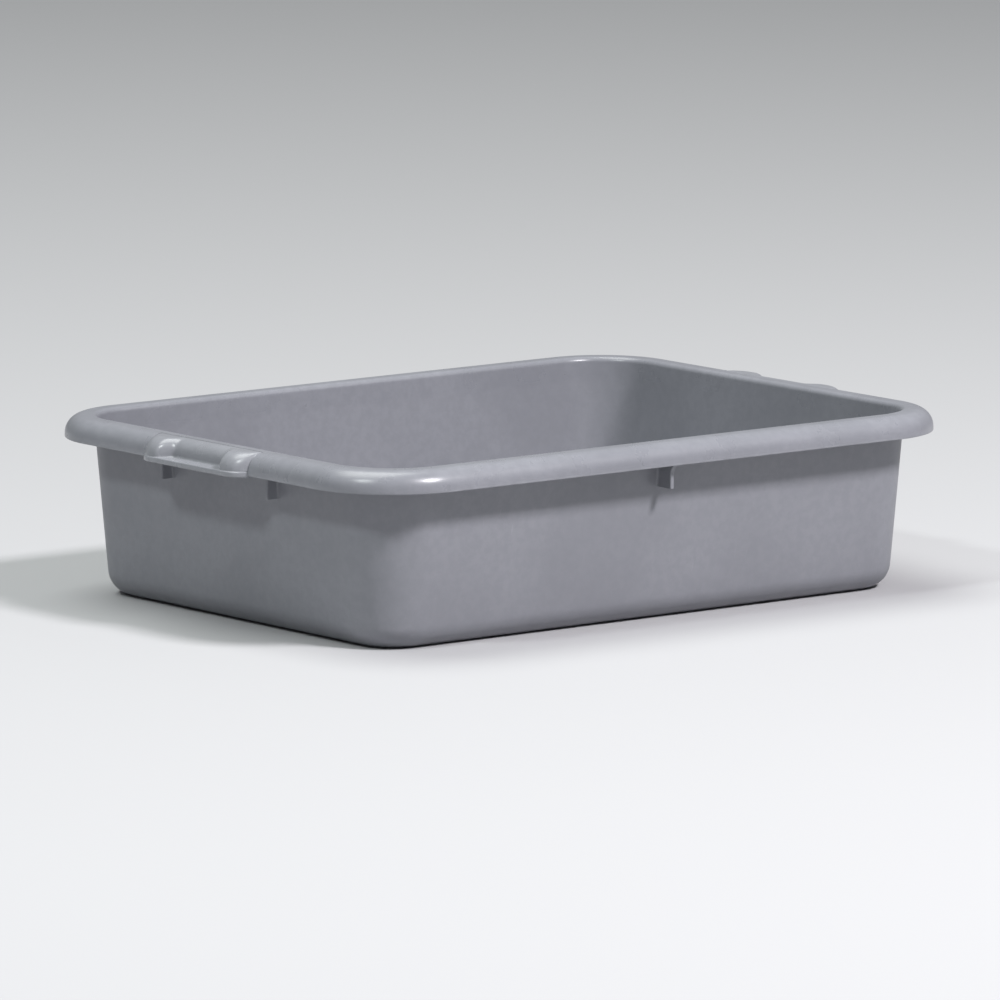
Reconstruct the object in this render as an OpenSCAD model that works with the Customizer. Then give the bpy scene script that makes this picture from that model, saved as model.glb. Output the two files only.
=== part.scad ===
// Open-topped nesting tote: one thin-walled tub with a turned-out rim and two press-in end grips.
// Origin at the middle of the underside, +X towards one grip, +Y across, +Z up. Millimetres.

/* [Tub] */
// Length over the rim, without the grips
rim_length = 526; // [460:1:620]
// Width over the rim
rim_width = 400; // [340:1:480]
// Height from the underside to the top of the rim
tote_height = 127; // [110:1:200]
// Wall, rim and floor thickness
wall = 2.6; // [2:0.1:4]
// Slope of the walls away from upright, in degrees
draft = 5; // [3:0.5:8]
// Plan radius of the rim's corners
corner_radius = 66; // [60:1:90]
// Outer radius where the walls turn into the floor
base_radius = 18; // [10:1:20]

/* [Rim] */
// How far the rim stands out from the wall at its lower edge
rim_reach = 21.5; // [19:0.5:26]
// Height of the rim from its lower edge to its top
rim_drop = 15.5; // [14:0.5:20]
// Radius of the rim's outer shoulder
rim_radius = 13; // [9:0.5:14]
// Radius where the rim's top turns down into the tub
lip_radius = 4; // [3:0.5:5]

/* [Nesting ribs] */
// Height that each tote stands above the one it nests in
nest_pitch = 32.5; // [30:0.5:40]
// Thickness of a rib
rib_thickness = 3.2; // [2:0.1:5]
// Reach of the end ribs out from the wall
end_rib_reach = 8; // [6:0.5:14]
// Reach of the side ribs at the rim's lower edge
side_rib_reach = 17; // [12:0.5:18.5]
// Reach of the side ribs lower down
side_rib_foot = 13.5; // [8:0.5:14]
// Distance between the centres of the two ribs on an end wall
end_rib_spacing = 121; // [110:1:130]

/* [Grips] */
// Length of a grip along the end wall
grip_width = 116.4; // [100:0.2:117]
// How far a grip stands out beyond the rim
grip_out = 10; // [6:0.5:14]
// Plan radius of a grip's outer corners
grip_corner = 17; // [10:1:20]
// Length of the full-section block at each end of a grip
grip_block = 26; // [20:1:32]
// Height of the lip along a grip's lower edge
lip_height = 4; // [3:0.5:6]
// How far the ledge's riser stands back from the rim's outer plane
riser_inset = 1; // [0:0.5:3]
// How far a grip hangs below the rim's lower edge
lip_hang = 1; // [0:0.5:2]
// Gap between a grip and the cut edges of the rim
seam = 0.3; // [0.2:0.1:0.6]

/* [Hidden] */
$fn = 96;
arc_steps = 9;
bite = 1;

rim_bottom = tote_height - rim_drop;
rim_under = tote_height - wall;
rib_foot = tote_height - nest_pitch;
notch_width = grip_width + 2 * seam;
wall_across = wall / cos(draft);
lip_bottom = rim_bottom - lip_hang;
lip_top = lip_bottom + lip_height;
tub_grey = [0.50, 0.51, 0.54];
grip_grey = [0.54, 0.55, 0.58];

// Distance of the wall's outer face from the rim's outer plane, at height z (negative is inward)
function wall_face(z) = -rim_reach - (rim_bottom - z) * tan(draft);
// Points along an arc about [u, z]
function arc(u, z, r, from, to) =
    [for (i = [0:arc_steps]) let (a = from + (to - from) * i / arc_steps) [u + r * cos(a), z + r * sin(a)]];

// Centre of the bend between wall and floor, touching both the sloping wall and the ground plane
bend_u = wall_face(base_radius * (1 - sin(draft))) - base_radius * cos(draft);
// Upper end of the inner face, where it turns out into the rim's top
inner_u = wall_face(tote_height - lip_radius) - wall_across;

// Section of floor edge, wall and rim: u is measured out from the rim's outer plane
tub_section = concat(
    arc(bend_u, base_radius, base_radius, -90, -draft),
    [[wall_face(rim_under), rim_under]],
    arc(-rim_radius, tote_height - rim_radius, rim_radius - wall, 90, 0),
    [[-wall, rim_bottom], [0, rim_bottom]],
    arc(-rim_radius, tote_height - rim_radius, rim_radius, 0, 90),
    arc(inner_u + lip_radius, tote_height - lip_radius, lip_radius, 90, 180),
    arc(bend_u, base_radius, base_radius - wall, -draft, -90)
);

// Straight length of section along an end wall, facing +X
module end_run(length) {
    translate([rim_length / 2, 0, 0])
        rotate([90, 0, 0])
            linear_extrude(height = length, center = true)
                children();
}

// Straight length of section along a side wall, facing +Y
module side_run(length) {
    translate([0, rim_width / 2, 0])
        rotate([90, 0, 90])
            linear_extrude(height = length, center = true)
                children();
}

module rounded_plate(length, width, radius, thickness) {
    linear_extrude(height = thickness) {
        square([length, width - 2 * radius], center = true);
        square([length - 2 * radius, width], center = true);
        for (sx = [-1, 1], sy = [-1, 1])
            translate([sx * (length / 2 - radius), sy * (width / 2 - radius)])
                circle(r = radius);
    }
}

module shell() {
    for (turn = [0, 180]) rotate([0, 0, turn]) {
        end_run(rim_width - 2 * corner_radius) polygon(tub_section);
        side_run(rim_length - 2 * corner_radius) polygon(tub_section);
        for (flip = [0, 1]) mirror([0, flip, 0])
            translate([rim_length / 2 - corner_radius, rim_width / 2 - corner_radius, 0])
                rotate_extrude(angle = 90)
                    polygon([for (p = tub_section) [p[0] + corner_radius, p[1]]]);
    }
    rounded_plate(rim_length + 2 * bend_u, rim_width + 2 * bend_u, corner_radius + bend_u, wall);
}

// Side of a nesting rib: top_reach and foot_reach are measured out from the wall at the rim's lower edge
module rib_outline(top_reach, foot_reach) {
    top_u = top_reach - rim_reach;
    foot_u = foot_reach - rim_reach;
    step = (rim_bottom - rib_foot) / 3;
    polygon([
        [wall_face(rib_foot) - bite, rib_foot],
        [foot_u, rib_foot],
        [foot_u, rim_bottom - step],
        [top_u, rim_bottom],
        [top_u, tote_height - rim_radius / 2],
        [-rim_radius, rim_under + wall / 2],
        [wall_face(rim_under) - bite, rim_under + wall / 2]
    ]);
}

module ribs() {
    for (turn = [0, 180]) rotate([0, 0, turn]) {
        side_run(rib_thickness) rib_outline(side_rib_reach, side_rib_foot);
        for (side = [-1, 1]) translate([0, side * end_rib_spacing / 2, 0])
            end_run(rib_thickness) rib_outline(end_rib_reach, end_rib_reach);
    }
}

// The part of the rim that a grip takes the place of
module notch() {
    translate([rim_length / 2 - rim_radius, -notch_width / 2, rim_bottom - bite])
        cube([rim_radius + bite, notch_width, rim_drop + 2 * bite]);
}

module tub() {
    color(tub_grey) difference() {
        union() {
            shell();
            ribs();
        }
        for (turn = [0, 180]) rotate([0, 0, turn]) notch();
    }
}

// A grip's butt edge, and the tongue that reaches under the rim's flange to the wall
grip_edge = -rim_radius + seam;
tongue_u = wall_face(rim_under) + seam;
tongue_z = rim_under - wall;
lip_inner = grip_out - wall;
riser_outer = -riser_inset;
riser_inner = riser_outer - wall;
shoulder = rim_radius - wall;

module tongue_outline() {
    polygon([
        [tongue_u, tongue_z],
        [grip_edge + wall, tongue_z],
        [grip_edge + wall, tote_height],
        [grip_edge, tote_height],
        [grip_edge, rim_under],
        [tongue_u, rim_under]
    ]);
}

// Grip section between the end blocks: a rounded shoulder, then a ledge running out to a lip
module ledge_outline() {
    polygon(concat(
        [[grip_edge, tongue_z], [grip_edge, tote_height]],
        arc(riser_outer - shoulder, tote_height - shoulder, shoulder, 90, 0),
        [[riser_outer, lip_top], [grip_out, lip_top], [grip_out, lip_bottom], [lip_inner, lip_bottom]],
        [[lip_inner, lip_top - wall], [riser_inner, lip_top - wall]],
        arc(riser_outer - shoulder, tote_height - shoulder, shoulder - wall, 0, 90),
        [[grip_edge + wall, tongue_z]]
    ));
}

// Grip section at the end blocks: the rim's own shape, moved out
module block_outline() {
    polygon(concat(
        [[grip_edge, tongue_z], [grip_edge, tote_height]],
        arc(grip_out - rim_radius, tote_height - rim_radius, rim_radius, 90, 0),
        [[grip_out, lip_bottom], [lip_inner, lip_bottom]],
        arc(grip_out - rim_radius, tote_height - rim_radius, rim_radius - wall, 0, 90),
        [[grip_edge + wall, tongue_z]]
    ));
}

// Plan outline of a grip, facing +X; its outer corners round off until they meet the rim's outer plane
module grip_plan(inset) {
    radius = grip_corner - inset;
    corner_y = grip_width / 2 - sqrt(pow(grip_corner, 2) - pow(grip_corner - grip_out, 2));
    end_y = grip_width / 2 - inset;
    inner = -rim_reach;
    translate([rim_length / 2, 0]) {
        translate([inner, -corner_y]) square([grip_out - inset - inner, 2 * corner_y]);
        translate([inner, -end_y]) square([grip_out - grip_corner - inner, 2 * end_y]);
        intersection() {
            for (side = [-1, 1]) translate([grip_out - grip_corner, side * corner_y]) circle(r = radius);
            translate([inner, -end_y]) square([grip_out - inner, 2 * end_y]);
        }
    }
}

module grip() {
    color(grip_grey) {
        intersection() {
            union() {
                end_run(grip_width) tongue_outline();
                end_run(grip_width - 2 * grip_block) ledge_outline();
                for (side = [-1, 1]) translate([0, side * (grip_width - grip_block) / 2, 0])
                    end_run(grip_block) block_outline();
                grip_skirt();
            }
            linear_extrude(height = tote_height) grip_plan(0);
        }
    }
}

// Upright skin that closes each end block round its corner and back to the rim
module grip_skirt() {
    translate([0, 0, lip_bottom]) intersection() {
        linear_extrude(height = rim_under - lip_bottom) difference() {
            grip_plan(0);
            grip_plan(wall);
        }
        for (side = [-1, 1]) translate([rim_length / 2 - rim_radius + seam, side * grip_width / 2, 0])
            translate([0, side > 0 ? -grip_block : 0, 0])
                cube([rim_radius + grip_out, grip_block, rim_drop]);
    }
}

module grip_right() {
    grip();
}

module grip_left() {
    rotate([0, 0, 180]) grip();
}

tub();
grip_left();
grip_right();
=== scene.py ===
"""Studio scene of an open nesting tote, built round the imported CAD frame.

Three pieces are made here: one moulded tub and two press-in end grips. Each stands for the CAD node that
it replaces. Lengths are in millimetres until new_object turns them into metres. Sections are drawn as points
(u, z), where u is the distance out from the rim's outer plane and z is the height above the floor.
"""
import math

import bmesh
import bpy
from mathutils import Matrix, Vector


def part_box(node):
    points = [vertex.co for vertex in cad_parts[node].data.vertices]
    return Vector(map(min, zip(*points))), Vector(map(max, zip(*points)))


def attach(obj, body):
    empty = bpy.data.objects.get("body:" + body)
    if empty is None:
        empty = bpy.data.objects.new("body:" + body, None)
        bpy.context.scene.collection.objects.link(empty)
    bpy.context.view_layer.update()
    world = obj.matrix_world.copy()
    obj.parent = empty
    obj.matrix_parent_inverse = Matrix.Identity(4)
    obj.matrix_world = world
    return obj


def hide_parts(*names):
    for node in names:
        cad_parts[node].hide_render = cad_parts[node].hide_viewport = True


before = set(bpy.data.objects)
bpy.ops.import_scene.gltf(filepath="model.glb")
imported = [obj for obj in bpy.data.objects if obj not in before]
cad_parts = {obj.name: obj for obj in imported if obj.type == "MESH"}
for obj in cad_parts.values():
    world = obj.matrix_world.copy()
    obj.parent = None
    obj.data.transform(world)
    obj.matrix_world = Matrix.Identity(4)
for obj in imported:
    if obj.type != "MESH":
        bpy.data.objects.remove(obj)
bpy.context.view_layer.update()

MM = 0.001

# ---------------------------------------------------------------- sizes, in millimetres
# from the frame where it gives them
TUB_LOW, TUB_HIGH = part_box("tub")
GRIP_LOW, GRIP_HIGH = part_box("grip_right")
HALF_LENGTH = TUB_HIGH[0] / MM
HALF_WIDTH = TUB_HIGH[1] / MM
HEIGHT = TUB_HIGH[2] / MM
GRIP_OUT = GRIP_HIGH[0] / MM - HALF_LENGTH
GRIP_HALF = GRIP_HIGH[1] / MM
LIP_BOTTOM = GRIP_LOW[2] / MM

# the driving sizes of the CAD model
WALL = 2.6
DRAFT = math.radians(5)
CORNER = 66.0
BASE_RADIUS = 18.0
RIM_REACH = 21.5
RIM_DROP = 15.5
RIM_RADIUS = 13.0
LIP_RADIUS = 4.0
NEST_PITCH = 32.5
SEAM = 0.3
RIB_THICKNESS = 3.2
END_RIB_Y = 60.5
END_RIB_REACH = 8.0
SIDE_RIB_REACH = 17.0
SIDE_RIB_FOOT = 13.5
GRIP_CORNER = 17.0
GRIP_BLOCK = 26.0
LIP_HEIGHT = 4.0
RISER_INSET = 1.0

# small roundings and blends that the CAD model leaves out
UNDER_FILLET = 2.0
SKIRT_EASE = 0.6
CROWN_MARGIN = 0.4
RIB_FLARE = 1.6
RIB_ROUNDING = 0.9
RIB_ROOT = 0.8
LIP_PROUD = 1.2
LIP_EASE = 1.1
GRIP_EASE = 0.5
BLOCK_BLEND = 12.0
END_EASE = 2.0
BLOCK_CREASE = 0.35
SHELF_CREASE = 2.0
GATE_WELL_RADIUS = 9.0
GATE_WELL_DEPTH = 0.9
GATE_STUB_RADIUS = 2.4
GATE_STUB_LOW = 0.25
GATE_STUB_HIGH = 1.4
# cutting blocks and plugs run past the surface by these
OVERLAP = 1.0
CLEARANCE = 5.0
# the least width left where a grip's inner surface closes against its end wall
THIN = 0.05

RIM_BOTTOM = HEIGHT - RIM_DROP
RIM_UNDER = HEIGHT - WALL
RIB_FOOT = HEIGHT - NEST_PITCH
NOTCH_HALF = GRIP_HALF + SEAM
GRIP_EDGE = SEAM - RIM_RADIUS
LIP_TOP = LIP_BOTTOM + LIP_HEIGHT


def wall_face(z):
    """Distance of the wall's outer face from the rim's outer plane at height z; negative is inward."""
    return -RIM_REACH - (RIM_BOTTOM - z) * math.tan(DRAFT)


BEND_U = wall_face(BASE_RADIUS * (1 - math.sin(DRAFT))) - BASE_RADIUS * math.cos(DRAFT)
INNER_U = wall_face(HEIGHT - LIP_RADIUS) - WALL / math.cos(DRAFT)
TONGUE_U = wall_face(RIM_UNDER) + SEAM

# ---------------------------------------------------------------- camera, in degrees and metres
CAMERA_AZIMUTH = -38.0
CAMERA_ELEVATION = 8.7
CAMERA_DISTANCE = 7.4
CAMERA_TARGET = (0.0, 0.0, 0.5 * HEIGHT * MM)
FRAME_WIDTH = 0.70
SENSOR_WIDTH = 36.0


# ---------------------------------------------------------------- outlines and meshes
def arc(u, z, radius, start, end, steps, tall=None):
    """Points along an arc about (u, z), angles in degrees; tall stretches it upright into an ellipse."""
    tall = radius if tall is None else tall
    angles = [math.radians(start + (end - start) * i / steps) for i in range(steps + 1)]
    return [(u + radius * math.cos(a), z + tall * math.sin(a)) for a in angles]


def between(p, q, steps):
    """The points that split the straight line from p to q into equal steps, without its ends."""
    return [tuple(a + (b - a) * i / steps for a, b in zip(p, q)) for i in range(1, steps)]


def joined(*runs):
    """Runs of points end to end, with points that repeat left out."""
    points = []
    for run in runs:
        for p in run:
            if not points or math.dist(p, points[-1]) > 1e-4:
                points.append(p)
    return points


def smooth(t):
    """Eases from 0 to 1 as t does, with t held between them."""
    t = min(1.0, max(0.0, t))
    return t * t * (3 - 2 * t)


def rounded_off(radius, distance):
    """How far a rounding of this radius has fallen away at a distance from where it starts."""
    if distance >= radius:
        return 0.0
    return radius - math.sqrt(max(0.0, radius**2 - (radius - distance) ** 2))


def skinned(loops):
    """Points and faces of a closed skin through loops of equally many points, with a cap at each end."""
    m = len(loops[0])
    verts = [p for loop in loops for p in loop]
    faces = []
    for i in range(len(loops) - 1):
        low, high = i * m, (i + 1) * m
        faces += [(low + k, low + (k + 1) % m, high + (k + 1) % m, high + k) for k in range(m)]
    faces.append(list(reversed(range(m))))
    faces.append(list(range((len(loops) - 1) * m, len(loops) * m)))
    return verts, faces


def new_object(name, verts, faces):
    """A mesh object from points in millimetres."""
    mesh = bpy.data.meshes.new(name)
    mesh.from_pydata([Vector(v) * MM for v in verts], [], faces)
    mesh.validate()
    obj = bpy.data.objects.new(name, mesh)
    bpy.context.scene.collection.objects.link(obj)
    return obj


def face_outward(obj):
    """Turns every face to look out of the mesh."""
    bm = bmesh.new()
    bm.from_mesh(obj.data)
    bmesh.ops.recalc_face_normals(bm, faces=bm.faces)
    bm.to_mesh(obj.data)
    bm.free()


def apply_modifiers(obj):
    """Replaces the mesh by its shape with modifiers on, and clears them."""
    graph = bpy.context.evaluated_depsgraph_get()
    mesh = bpy.data.meshes.new_from_object(obj.evaluated_get(graph))
    obj.modifiers.clear()
    obj.data = mesh


def cut(obj, tool, operation):
    """Adds or takes away tool from obj, and deletes tool."""
    mod = obj.modifiers.new("cut", "BOOLEAN")
    mod.object = tool
    mod.operation = operation
    mod.solver = "EXACT"
    apply_modifiers(obj)
    bpy.data.objects.remove(tool)


def tidy_mesh(obj, sharp_angle=32):
    """Merges doubled points, drops slivers and sets smooth shading broken at sharp edges."""
    bm = bmesh.new()
    bm.from_mesh(obj.data)
    bmesh.ops.remove_doubles(bm, verts=bm.verts, dist=0.01 * MM)
    bmesh.ops.dissolve_degenerate(bm, edges=bm.edges, dist=0.005 * MM)
    bm.to_mesh(obj.data)
    bm.free()
    obj.data.shade_smooth()
    obj.data.set_sharp_from_angle(angle=math.radians(sharp_angle))


# ---------------------------------------------------------------- tub
def tub_section():
    """Floor edge, wall and rim as points (u, z), from the underside round the rim to the floor inside."""
    z_fillet = RIM_UNDER - UNDER_FILLET
    bend = arc(BEND_U, BASE_RADIUS, BASE_RADIUS, -90, -math.degrees(DRAFT), 14)
    wall_top = (wall_face(z_fillet), z_fillet)
    fillet = arc(wall_top[0] + UNDER_FILLET, z_fillet, UNDER_FILLET, 180, 90, 4)
    hollow = arc(-RIM_RADIUS, HEIGHT - RIM_RADIUS, RIM_RADIUS - WALL, 90, 0, 10)
    skirt_in = arc(-WALL + SKIRT_EASE, RIM_BOTTOM + SKIRT_EASE, SKIRT_EASE, 180, 270, 3)
    skirt_out = arc(-SKIRT_EASE, RIM_BOTTOM + SKIRT_EASE, SKIRT_EASE, -90, 0, 3)
    shoulder = arc(-RIM_RADIUS, HEIGHT - RIM_RADIUS, RIM_RADIUS, 0, 90, 18)
    lip_end = 180 - math.degrees(DRAFT) / 2
    lip = arc(INNER_U + LIP_RADIUS, HEIGHT - LIP_RADIUS, LIP_RADIUS, 90, lip_end, 12)
    crown = [(shoulder[-1][0] - CROWN_MARGIN, HEIGHT), (lip[0][0] + CROWN_MARGIN, HEIGHT)]
    inner_bend = arc(BEND_U, BASE_RADIUS, BASE_RADIUS - WALL, -math.degrees(DRAFT), -90, 14)
    return joined(
        bend, between(bend[-1], wall_top, 10), fillet, hollow, skirt_in, skirt_out, shoulder,
        crown, lip, between(lip[-1], inner_bend[0], 10), inner_bend,
    )


def perimeter():
    """Stations round the rim's outer line: point and outward direction, counterclockwise from the +X end."""
    corner_steps = 28
    step = 12.0
    run_x = HALF_LENGTH - CORNER
    run_y = HALF_WIDTH - CORNER
    corners = [(run_x, run_y), (-run_x, run_y), (-run_x, -run_y), (run_x, -run_y)]
    stations = []
    for k, (cx, cy) in enumerate(corners):
        for i in range(corner_steps + 1):
            a = math.radians(90 * k + 90 * i / corner_steps)
            nx, ny = math.cos(a), math.sin(a)
            stations.append((cx + CORNER * nx, cy + CORNER * ny, nx, ny))
        nx, ny = -math.sin(math.radians(90 * k)), math.cos(math.radians(90 * k))
        here = stations[-1]
        ahead = corners[(k + 1) % 4]
        end = (ahead[0] + CORNER * nx, ahead[1] + CORNER * ny)
        count = max(2, round(math.dist(here[:2], end) / step))
        stations += [(x, y, nx, ny) for x, y in between(here[:2], end, count)]
    return stations


def tub_shell():
    """The closed moulding without ribs: the section swept round the perimeter, and the floor's two faces."""
    section = tub_section()
    stations = perimeter()
    m, n = len(section), len(stations)
    verts = [(x + u * nx, y + u * ny, z) for x, y, nx, ny in stations for u, z in section]
    faces = []
    for i in range(n):
        j = (i + 1) % n
        faces += [(i * m + k, j * m + k, j * m + k + 1, i * m + k + 1) for k in range(m - 1)]
    faces.append([i * m for i in reversed(range(n))])
    faces.append([i * m + m - 1 for i in range(n)])
    shell = new_object("tub_moulding", verts, faces)
    face_outward(shell)
    return shell


def rib(top_reach, foot_reach):
    """Points (u, y, z) and faces of a nesting rib: an upright plate across y = 0, flared at its root."""
    rows = 14
    plain_steps = 6
    step = (RIM_BOTTOM - RIB_FOOT) / 3
    top = RIM_UNDER + 0.4 * WALL
    crown_radius = RIM_RADIUS - 0.5 * WALL

    def reach(z):
        """The rib's outer edge, as u, at height z."""
        t = smooth((z - RIM_BOTTOM + step) / step)
        outer = -RIM_REACH + foot_reach + (top_reach - foot_reach) * t
        rise = max(0.0, z - HEIGHT + RIM_RADIUS)
        crown = -RIM_RADIUS + math.sqrt(max(0.0, crown_radius**2 - rise**2))
        return min(outer, crown)

    def half(distance, to_edge):
        """Half the plate's thickness, at a distance out from the wall and in from the outer edge."""
        grow = rounded_off(RIB_FLARE, distance)
        shrink = rounded_off(RIB_ROUNDING, to_edge)
        return RIB_THICKNESS / 2 + grow - shrink

    heights = [RIB_FOOT + (top - RIB_FOOT) * j / rows for j in range(rows + 1)]
    right, left = [], []
    for z in heights:
        wall_u = wall_face(z)
        depth = reach(z) - wall_u
        flat = depth - RIB_ROUNDING - RIB_FLARE
        marks = [0.0, 0.2, 0.5, 0.9, 1.3, RIB_FLARE]
        marks += [RIB_FLARE + flat * i / plain_steps for i in range(1, plain_steps)]
        marks += [depth - RIB_ROUNDING, depth - 0.5, depth - 0.2, depth - 0.05, depth]
        for side, loops in ((-1, right), (1, left)):
            root = (wall_u - RIB_ROOT, side * RIB_THICKNESS, z)
            loops.append([root] + [(wall_u + d, side * half(d, depth - d), z) for d in marks])
    return skinned([r + l[::-1] for r, l in zip(right, left)])


def placed_rib(side, along, top_reach, foot_reach):
    """A rib on side 0 (+X), 1 (+Y), 2 (-X) or 3 (-Y), at a distance along that side."""
    verts, faces = rib(top_reach, foot_reach)
    out = HALF_LENGTH if side % 2 == 0 else HALF_WIDTH
    turn = Matrix.Rotation(math.radians(90 * side), 3, "Z")
    obj = new_object("rib", [turn @ Vector((out + u, along + y, z)) for u, y, z in verts], faces)
    face_outward(obj)
    return obj


def block(name, low, high):
    """A plain box used only to cut with."""
    xs, ys, zs = zip(low, high)
    verts = [(x, y, z) for x in xs for y in ys for z in zs]
    faces = [(0, 1, 3, 2), (4, 6, 7, 5), (0, 4, 5, 1), (2, 3, 7, 6), (0, 2, 6, 4), (1, 5, 7, 3)]
    obj = new_object(name, verts, faces)
    face_outward(obj)
    return obj


def disc(name, radius, z_low, z_high, steps=48):
    """A short round plug used only to cut or add."""
    ring = arc(0.0, 0.0, radius, 0, 360, steps)[:-1]
    obj = new_object(name, *skinned([[(x, y, z) for x, y in ring] for z in (z_low, z_high)]))
    face_outward(obj)
    return obj


def build_tub():
    """The tub: shell and ribs, with a notch in the rim for each grip and the gate mark underneath."""
    tub = tub_shell()
    for side in (1, 3):
        cut(tub, placed_rib(side, 0.0, SIDE_RIB_REACH, SIDE_RIB_FOOT), "UNION")
    for side in (0, 2):
        for along in (-END_RIB_Y, END_RIB_Y):
            cut(tub, placed_rib(side, along, END_RIB_REACH, END_RIB_REACH), "UNION")
    for sign in (-1, 1):
        xs = sorted((sign * (HALF_LENGTH - RIM_RADIUS), sign * (HALF_LENGTH + CLEARANCE)))
        low = (xs[0], -NOTCH_HALF, RIM_BOTTOM - OVERLAP)
        high = (xs[1], NOTCH_HALF, HEIGHT + CLEARANCE)
        cut(tub, block("notch", low, high), "DIFFERENCE")
    # gate well in the underside, with the stub that the runner leaves
    cut(tub, disc("gate_well", GATE_WELL_RADIUS, -OVERLAP, GATE_WELL_DEPTH), "DIFFERENCE")
    cut(tub, disc("gate_stub", GATE_STUB_RADIUS, GATE_STUB_LOW, GATE_STUB_HIGH), "UNION")
    tidy_mesh(tub)
    return tub


# ---------------------------------------------------------------- grips
def mix(p, q, t):
    """The point that lies a share t of the way from p to q."""
    return tuple(a + (b - a) * t for a, b in zip(p, q))


def grip_top(face, tall, crease):
    """Outer surface of a grip: its butt edge, crown, shoulder and face, down to the crease above the lip."""
    across = min(tall, face - GRIP_EDGE - 2 * GRIP_EASE)
    base = HEIGHT - tall
    low = LIP_TOP + crease
    foot = math.degrees(math.asin(max(0.0, (low - base) / tall)))
    edge = arc(GRIP_EDGE + GRIP_EASE, HEIGHT - GRIP_EASE, GRIP_EASE, 180, 90, 3)
    shoulder = arc(face - across, base, across, 90, foot, 16, tall)
    hollow = arc(face + crease, low, crease, 180, 270, 6)
    return edge + between(edge[-1], shoulder[0], 4) + shoulder + hollow


def grip_under(inner, face, tall):
    """Inner surface of a grip, from the lip's inner face up to the crown, where the tongue starts."""
    start = GRIP_EDGE + WALL
    face = max(start + THIN, min(face, inner))
    across = min(tall, face - start)
    base = HEIGHT - WALL - tall
    opening = min(1.0, max(0.0, across - THIN) / 3)
    ceiling = RIM_UNDER - WALL * (1 - opening)
    low = LIP_TOP - WALL
    inner = max(inner, start + THIN)
    step = [(inner, low), ((inner + face) / 2, low), (face, low)]
    return step + arc(face - across, base, across, 0, 90, 10, ceiling - base)


def grip_section(outer, inner, ledge, top):
    """Closed section of a grip at one place along it.

    Outer and inner are the lip's two faces, ledge is 1 between the end blocks and 0 in them, and top is the
    height of the crown.
    """
    riser = min(-RISER_INSET, outer - LIP_PROUD)
    block_top = grip_top(outer - LIP_PROUD, RIM_RADIUS, BLOCK_CREASE)
    shelf_top = grip_top(riser, RIM_RADIUS - WALL, SHELF_CREASE)
    squeeze = (top - LIP_TOP) / (HEIGHT - LIP_TOP)
    upper = [mix(p, q, ledge) for p, q in zip(block_top, shelf_top)]
    upper = [(u, LIP_TOP + (z - LIP_TOP) * squeeze) for u, z in upper]
    lip = arc(outer - LIP_EASE, LIP_TOP - LIP_EASE, LIP_EASE, 90, 0, 4)
    lip += arc(outer - LIP_EASE, LIP_BOTTOM + LIP_EASE, LIP_EASE, 0, -90, 4)
    low_inner = max(inner, GRIP_EDGE + WALL + THIN)
    block_under = grip_under(inner, inner - LIP_PROUD, RIM_RADIUS - WALL)
    shelf_under = grip_under(inner, riser - WALL, RIM_RADIUS - 2 * WALL)
    under = [mix(p, q, ledge) for p, q in zip(block_under, shelf_under)]
    tongue = [
        (GRIP_EDGE + WALL, RIM_UNDER - WALL),
        (TONGUE_U, RIM_UNDER - WALL),
        (TONGUE_U, RIM_UNDER),
        (GRIP_EDGE, RIM_UNDER),
    ]
    return upper + lip + [(low_inner, LIP_BOTTOM)] + under + tongue


def grip_stations(corner_y):
    """Places along a grip, dense round its plan corners and where its end walls start."""
    corner_steps = 30
    middle_steps = 48
    end_wall = GRIP_HALF - WALL
    turns = [math.radians(90 * i / corner_steps) for i in range(1, corner_steps + 1)]
    corner = [corner_y + (GRIP_HALF - corner_y) * math.sin(a) for a in turns]
    middle = [corner_y * i / middle_steps for i in range(middle_steps + 1)]
    half = sorted(middle + corner + [end_wall - 0.03, end_wall + 0.03])
    return [-y for y in reversed(half[1:])] + half


def build_grip(name, turn):
    """A grip of the +X end, turned about Z: its sections run along Y and follow its rounded plan."""
    corner_y = GRIP_HALF - math.sqrt(GRIP_CORNER**2 - (GRIP_CORNER - GRIP_OUT) ** 2)
    rows = []
    for y in grip_stations(corner_y):
        past = max(0.0, abs(y) - corner_y)
        outer = GRIP_OUT - GRIP_CORNER + math.sqrt(max(0.0, GRIP_CORNER**2 - past**2))
        inner = GRIP_OUT - GRIP_CORNER + math.sqrt(max(0.0, (GRIP_CORNER - WALL) ** 2 - past**2))
        if GRIP_HALF - abs(y) < WALL:
            inner = GRIP_EDGE + WALL
        ledge = 1 - smooth((abs(y) - GRIP_HALF + GRIP_BLOCK + BLOCK_BLEND / 2) / BLOCK_BLEND)
        top = HEIGHT - rounded_off(END_EASE, GRIP_HALF - abs(y))
        rows.append([(HALF_LENGTH + u, y, z) for u, z in grip_section(outer, inner, ledge, top)])
    spin = Matrix.Rotation(turn, 3, "Z")
    verts, faces = skinned(rows)
    grip = new_object(name, [spin @ Vector(p) for p in verts], faces)
    face_outward(grip)
    tidy_mesh(grip)
    return grip


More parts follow.
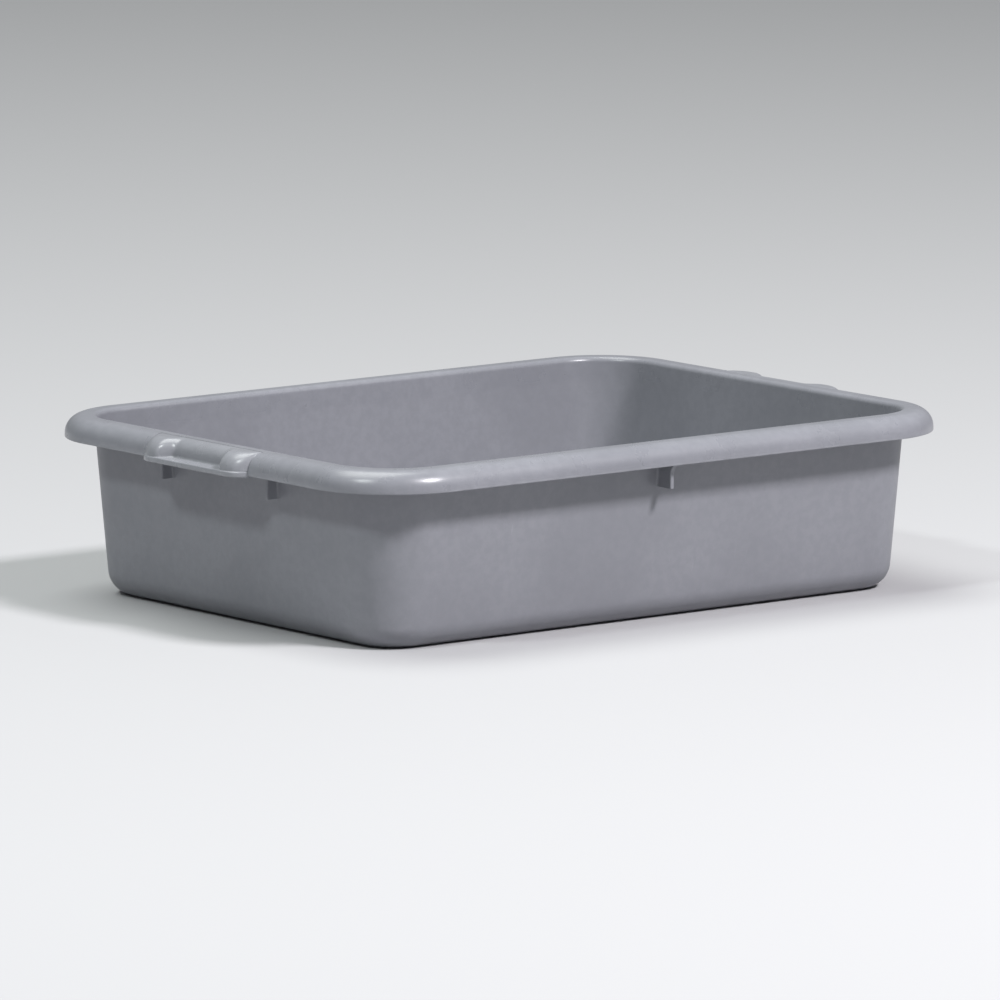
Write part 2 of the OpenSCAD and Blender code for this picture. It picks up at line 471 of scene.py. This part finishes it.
# ---------------------------------------------------------------- materials
class Graph:
    """Small helper that adds and links shader nodes."""

    def __init__(self, name):
        self.material = bpy.data.materials.new(name)
        self.material.use_nodes = True
        self.tree = self.material.node_tree
        self.shader = self.tree.nodes["Principled BSDF"]

    def add(self, kind, settings=None, inputs=None):
        """A new node with these settings; an input is linked if it is a socket, and set if it is a value."""
        node = self.tree.nodes.new(kind)
        for key, value in (settings or {}).items():
            setattr(node, key, value)
        for key, value in (inputs or {}).items():
            socket = node.inputs[key]
            if isinstance(value, bpy.types.NodeSocket):
                self.tree.links.new(value, socket)
            else:
                socket.default_value = value
        return node

    def noise(self, where, scale, detail, roughness=0.5):
        """Noise of a scale, in lumps per metre."""
        inputs = {"Vector": where, "Scale": scale, "Detail": detail, "Roughness": roughness}
        return self.add("ShaderNodeTexNoise", None, inputs).outputs["Fac"]

    def remap(self, value, low, high, to_low, to_high):
        """Value eased from one range to another, and held at its ends."""
        inputs = {"Value": value, "From Min": low, "From Max": high, "To Min": to_low, "To Max": to_high}
        return self.add("ShaderNodeMapRange", {"interpolation_type": "SMOOTHSTEP"}, inputs).outputs["Result"]

    def math(self, operation, a, b):
        """The result of a Math node."""
        return self.add("ShaderNodeMath", {"operation": operation}, {0: a, 1: b}).outputs[0]

    def bump(self, height, strength, distance, normal=None):
        """The normal of a Bump node, on top of another normal if one is given."""
        inputs = {"Height": height, "Strength": strength, "Distance": distance}
        if normal is not None:
            inputs["Normal"] = normal
        return self.add("ShaderNodeBump", None, inputs).outputs["Normal"]

    def blend(self, factor, a, b):
        """Colour a turned towards colour b by a factor; either is a socket or three numbers."""
        node = self.add("ShaderNodeMix", {"data_type": "RGBA"}, {"Factor": factor})
        for socket, value in (("A", a), ("B", b)):
            target = [s for s in node.inputs if s.name == socket and s.type == "RGBA"][0]
            if isinstance(value, bpy.types.NodeSocket):
                self.tree.links.new(value, target)
            else:
                target.default_value = (*value, 1)
        return [s for s in node.outputs if s.type == "RGBA"][0]


def scaled(colour, gain):
    """A colour made brighter or darker by a gain, and held at white."""
    return [min(1.0, c * gain) for c in colour]


def hairlines(g, where):
    """Fine scratches: upright ones, as nesting leaves on walls, and two level directions, as on floors.

    A direction only marks surfaces that it runs along, because elsewhere it would show as dots.
    """
    length, width = 0.09, 0.0014
    normal = g.add("ShaderNodeTexCoord").outputs["Normal"]
    marks = None
    for spin, tilt in ((0.5, 84.0), (35.0, 4.0), (118.0, -3.0)):
        turn, lift = math.radians(spin), math.radians(tilt)
        along = (math.cos(turn) * math.cos(lift), math.sin(turn) * math.cos(lift), math.sin(lift))
        inputs = {"Vector": where, "Rotation": (0.0, -lift, turn), "Scale": (length, width, width)}
        stretched = g.add("ShaderNodeMapping", {"vector_type": "TEXTURE"}, inputs).outputs["Vector"]
        line = g.remap(g.noise(stretched, 1.0, 1.0), 0.70, 0.77, 0.0, 1.0)
        across = g.add("ShaderNodeVectorMath", {"operation": "DOT_PRODUCT"}, {0: normal, 1: along})
        flat = g.remap(g.math("ABSOLUTE", across.outputs["Value"], 0.0), 0.10, 0.35, 1.0, 0.0)
        line = g.math("MULTIPLY", line, flat)
        marks = line if marks is None else g.math("MAXIMUM", marks, line)
    return marks


def moulded_plastic(name, dark, light, shine, texture):
    """Satin moulded plastic: flow mottling, fine flecks and grain, hairline scuffs and paler rubbed edges.

    Dark and light are the ends of the mottling, shine is the roughness of a polished surface, and texture is
    what the walls add to it.
    """
    g = Graph(name)
    where = g.add("ShaderNodeTexCoord").outputs["Object"]

    # colour varies over centimetres, with pale specks and darker flecks of a few millimetres
    mottle = g.noise(where, 9.0, 4.0, 0.55)
    speck = g.noise(where, 420.0, 3.0)
    fleck = g.noise(where, 150.0, 4.0, 0.6)
    base = g.blend(g.remap(mottle, 0.35, 0.65, 0.0, 1.0), dark, light)
    base = g.blend(g.remap(speck, 0.62, 0.8, 0.0, 0.10), base, scaled(light, 1.5))
    base = g.blend(g.remap(fleck, 0.35, 0.65, 0.0, 0.36), base, scaled(dark, 0.90))

    # scuffs come in patches
    patch = g.remap(g.noise(where, 11.0, 2.0), 0.48, 0.66, 0.0, 1.0)
    scuff = g.math("MULTIPLY", hairlines(g, where), patch)
    base = g.blend(g.math("MULTIPLY", scuff, 0.11), base, scaled(light, 1.9))

    # edges rub a little paler
    rub = g.remap(g.add("ShaderNodeNewGeometry").outputs["Pointiness"], 0.53, 0.62, 0.0, 0.28)
    worn = g.math("MULTIPLY", rub, g.remap(g.noise(where, 60.0, 3.0), 0.35, 0.6, 0.3, 1.0))
    base = g.blend(worn, base, scaled(light, 1.45))
    g.tree.links.new(base, g.shader.inputs["Base Color"])

    # walls come from a finely textured mould, and the rim from a polished one
    height = g.add("ShaderNodeSeparateXYZ", None, {"Vector": where}).outputs["Z"]
    matt = g.remap(height, RIM_BOTTOM * MM - 0.004, RIM_BOTTOM * MM + 0.002, texture, 0.0)
    rough = g.remap(g.noise(where, 26.0, 5.0, 0.6), 0.3, 0.7, shine - 0.04, shine + 0.05)
    rough = g.math("ADD", rough, matt)
    rough = g.math("ADD", rough, g.math("MULTIPLY", scuff, 0.06))
    g.tree.links.new(rough, g.shader.inputs["Roughness"])

    # slight waves from uneven shrinking, under the fine grain of the mould
    wave = g.bump(g.noise(where, 22.0, 2.0), 0.35, 0.0006)
    grain = g.bump(g.noise(where, 1500.0, 2.0), 0.3, 0.00012, wave)
    g.tree.links.new(grain, g.shader.inputs["Normal"])
    g.shader.inputs["IOR"].default_value = 1.49
    g.shader.inputs["Specular IOR Level"].default_value = 0.5
    return g.material


def plain(name, colour, roughness):
    """A material of one colour, for the stage."""
    g = Graph(name)
    g.shader.inputs["Base Color"].default_value = (*colour, 1)
    g.shader.inputs["Roughness"].default_value = roughness
    return g.material


# ---------------------------------------------------------------- stage
def build_stage():
    """A wide pale floor under a pale, even sky."""
    half = 14000
    corners = [(-half, -half, 0), (half, -half, 0), (half, half, 0), (-half, half, 0)]
    floor = new_object("floor", corners, [(0, 1, 2, 3)])
    floor.data.materials.append(plain("floor_paint", (0.43, 0.43, 0.44), 0.8))
    world = bpy.data.worlds.new("studio")
    world.use_nodes = True
    back = world.node_tree.nodes["Background"]
    back.inputs["Color"].default_value = (0.94, 0.96, 1.0, 1)
    back.inputs["Strength"].default_value = 0.22
    bpy.context.scene.world = world
    bpy.context.scene.view_settings.view_transform = "Standard"


def softbox(name, azimuth, elevation, distance, size, power, tint=(1, 1, 1)):
    """A soft light aimed at the tote; azimuth 0 is on the -Y side and 90 on the +X side, in degrees."""
    turn, lift = math.radians(azimuth), math.radians(elevation)
    target = Vector((0, 0, 0.08))
    away = Vector((math.sin(turn) * math.cos(lift), -math.cos(turn) * math.cos(lift), math.sin(lift)))
    light = bpy.data.lights.new(name, "AREA")
    light.shape = "RECTANGLE"
    light.size, light.size_y = size
    light.energy = power
    light.color = tint
    obj = bpy.data.objects.new(name, light)
    bpy.context.scene.collection.objects.link(obj)
    obj.location = target + distance * away
    obj.rotation_euler = (-away).to_track_quat("-Z", "Y").to_euler()


def build_lights():
    """Soft light from above, a key that casts the rim's shadow on the long side, and some on the grip end."""
    softbox("top_softbox", 200, 74, 6.0, (4.6, 3.6), 285, (0.965, 1.0, 0.965))
    softbox("key_softbox", 16, 45, 4.2, (0.8, 0.6), 208, (1.0, 0.972, 1.0))
    softbox("left_fill", -80, 46, 3.8, (0.42, 0.36), 46, (0.94, 1.0, 0.98))


def build_camera():
    """The long side to the right and one grip to the left, seen from a little above and from far away."""
    azimuth, elevation = math.radians(CAMERA_AZIMUTH), math.radians(CAMERA_ELEVATION)
    level = math.cos(elevation)
    back = Vector((math.sin(azimuth) * level, -math.cos(azimuth) * level, math.sin(elevation)))
    target = Vector(CAMERA_TARGET)
    data = bpy.data.cameras.new("camera")
    data.sensor_width = SENSOR_WIDTH
    data.lens = SENSOR_WIDTH * CAMERA_DISTANCE / FRAME_WIDTH
    data.clip_end = 100
    camera = bpy.data.objects.new("camera", data)
    bpy.context.scene.collection.objects.link(camera)
    camera.location = target + back * CAMERA_DISTANCE
    camera.rotation_euler = (-back).to_track_quat("-Z", "Y").to_euler()
    bpy.context.scene.camera = camera


# ---------------------------------------------------------------- the scene
build_camera()
build_stage()
build_lights()

tub_plastic = moulded_plastic("tub_plastic", (0.206, 0.211, 0.234), (0.232, 0.237, 0.262), 0.29, 0.17)
grip_plastic = moulded_plastic("grip_plastic", (0.228, 0.234, 0.256), (0.254, 0.260, 0.284), 0.26, 0.0)

tub = build_tub()
tub.data.materials.clear()
tub.data.materials.append(tub_plastic)
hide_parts("tub")
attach(tub, "root")

for node, turn in (("grip_right", 0.0), ("grip_left", math.pi)):
    grip = build_grip(node + "_moulding", turn)
    grip.data.materials.append(grip_plastic)
    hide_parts(node)
    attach(grip, "root")
